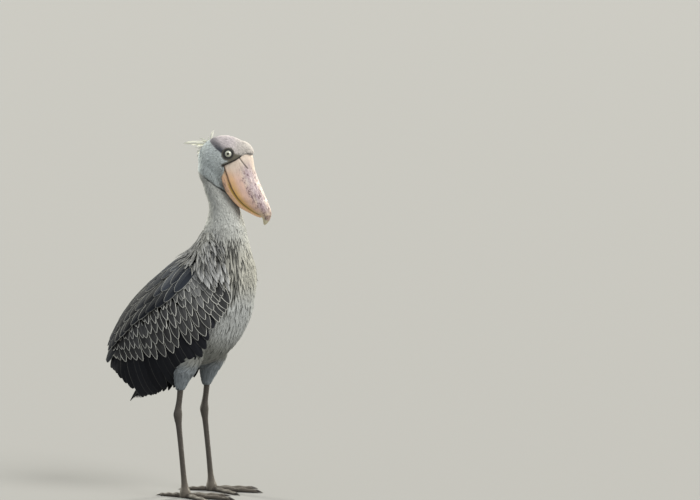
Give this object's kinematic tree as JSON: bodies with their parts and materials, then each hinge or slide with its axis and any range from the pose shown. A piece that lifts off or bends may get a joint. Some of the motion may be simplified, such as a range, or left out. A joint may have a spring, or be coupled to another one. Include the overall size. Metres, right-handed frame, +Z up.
{
  "type": "shoebill model",
  "caption": "Still, life-size shoebill standing on both feet, wings folded, its bill resting on the front of its neck.",
  "frame": {"origin": "on the floor under the middle of the bird's box", "axes": "+X is where the bird faces, +Y its left, +Z up"},
  "size_m": [0.5486, 0.3318, 1.1394],
  "materials": {
    "head_plumage": "short, dense grey feathers",
    "body_plumage": "soft grey body feathers",
    "flight_feathers": "slate vanes with pale fringes",
    "bill": "satin horn, blotched",
    "eye": "wet gloss",
    "bare_skin": "dry scaly skin",
    "claw": "dark horn"
  },
  "bodies": {
    "root": {"head": "head_plumage", "neck": "head_plumage", "torso": "body_plumage", "tail": "flight_feathers", "bill_upper": "bill", "bill_lower": "bill", "eye_right": "eye", "eye_left": "eye", "thigh_right": "body_plumage", "thigh_left": "body_plumage", "wing_right": "flight_feathers", "wing_left": "flight_feathers", "leg_right": "bare_skin", "leg_left": "bare_skin", "toe_middle_right": "bare_skin", "claw_middle_right": "claw", "toe_inner_right": "bare_skin", "claw_inner_right": "claw", "toe_outer_right": "bare_skin", "claw_outer_right": "claw", "toe_hind_right": "bare_skin", "claw_hind_right": "claw", "toe_middle_left": "bare_skin", "claw_middle_left": "claw", "toe_inner_left": "bare_skin", "claw_inner_left": "claw", "toe_outer_left": "bare_skin", "claw_outer_left": "claw", "toe_hind_left": "bare_skin", "claw_hind_left": "claw"}
  },
  "joints": []
}
